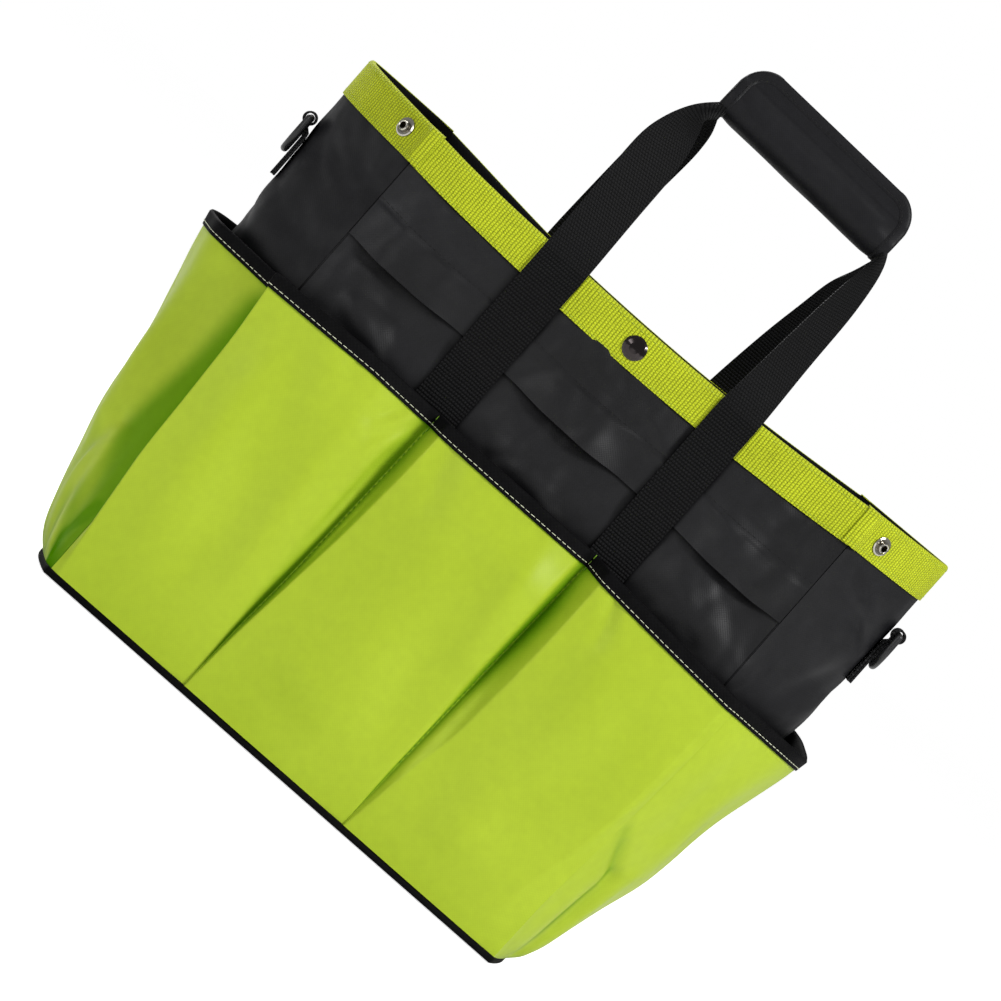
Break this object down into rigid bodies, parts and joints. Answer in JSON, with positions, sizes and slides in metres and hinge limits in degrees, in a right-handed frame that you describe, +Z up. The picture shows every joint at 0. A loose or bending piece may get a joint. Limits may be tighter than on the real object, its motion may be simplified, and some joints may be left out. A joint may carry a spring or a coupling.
{
  "type": "garden tool bag",
  "caption": "Open-topped boxed cloth tote with a skirt of outer pockets, webbing handles joined by a padded grip wrap, side D-rings and snaps at the rim.",
  "frame": {"origin": "the middle of the base, on the surface that the bag stands on", "axes": "+Z up, -Y the front with the pocket snap cap, +X to the right seen from the front"},
  "size_m": [0.462, 0.1862, 0.479],
  "materials": {
    "board": "stiff dull plastic board",
    "black_cloth": "tight plain-woven polyester cloth, nearly black",
    "black_binding": "narrow ribbed binding tape, black",
    "lime_cloth": "coated polyester cloth with a slight sheen, lime green",
    "lime_webbing": "ribbed webbing tape, lime green",
    "black_webbing": "ribbed polypropylene webbing, black",
    "padded_cloth": "padded black cloth with bound edges",
    "hook_and_loop": "hook and loop tape, black",
    "ring_plastic": "moulded nylon, black, satin",
    "snap_metal": "plated brass snap, polished"
  },
  "bodies": {
    "bag": {"base_board": "board", "bottom_panel": "black_cloth", "bottom_binding": "black_binding", "front_panel": "black_cloth", "back_panel": "black_cloth", "left_gusset": "black_cloth", "right_gusset": "black_cloth", "front_slip_pocket": "black_cloth", "back_slip_pocket": "black_cloth", "front_flap": "black_cloth", "back_flap": "black_cloth", "skirt_front": "lime_cloth", "skirt_back": "lime_cloth", "skirt_left": "lime_cloth", "skirt_right": "lime_cloth", "binding_front": "black_binding", "binding_back": "black_binding", "binding_left": "black_binding", "binding_right": "black_binding", "rim_tape_front": "lime_webbing", "rim_tape_back": "lime_webbing", "rim_tape_left": "lime_webbing", "rim_tape_right": "lime_webbing", "front_handle_legs": "black_webbing", "back_handle_legs": "black_webbing", "front_handle_risers": "black_webbing", "left_ring_tab": "black_webbing", "right_ring_tab": "black_webbing", "front_snap_cap": "snap_metal", "front_snap_socket": "snap_metal", "back_snap_stud": "snap_metal", "back_snap_cap": "snap_metal", "gusset_snap_studs": "snap_metal", "gusset_stud_posts": "snap_metal", "gusset_snap_sockets": "snap_metal", "gusset_socket_posts": "snap_metal"},
    "left_ring": {"left_d_ring": "ring_plastic"},
    "right_ring": {"right_d_ring": "ring_plastic"},
    "handle": {"front_handle_middle": "black_webbing", "back_handle_loop": "black_webbing", "wrap_back_half": "padded_cloth", "wrap_loop_tape": "hook_and_loop"},
    "wrap_flap": {"wrap_front_flap": "padded_cloth", "wrap_hook_tape": "hook_and_loop"}
  },
  "joints": [
    {"name": "handle_lean", "type": "hinge", "parent": "bag", "child": "handle", "pos_m": [0, 0.0697, 0.32912], "axis": [1, 0, 0], "range_deg": [0, 30], "deforming": ["front_handle_risers"]},
    {"name": "wrap_flap_opening", "type": "hinge", "parent": "handle", "child": "wrap_flap", "pos_m": [0, -0.004, 0.43969], "axis": [1, 0, 0], "range_deg": [0, 80]},
    {"name": "left_ring_swing", "type": "hinge", "parent": "bag", "child": "left_ring", "pos_m": [-0.22238, 0, 0.287], "axis": [0, 1, 0], "range_deg": [0, 150]},
    {"name": "right_ring_swing", "type": "hinge", "parent": "bag", "child": "right_ring", "pos_m": [0.22238, 0, 0.287], "axis": [0, -1, 0], "range_deg": [0, 150]}
  ]
}
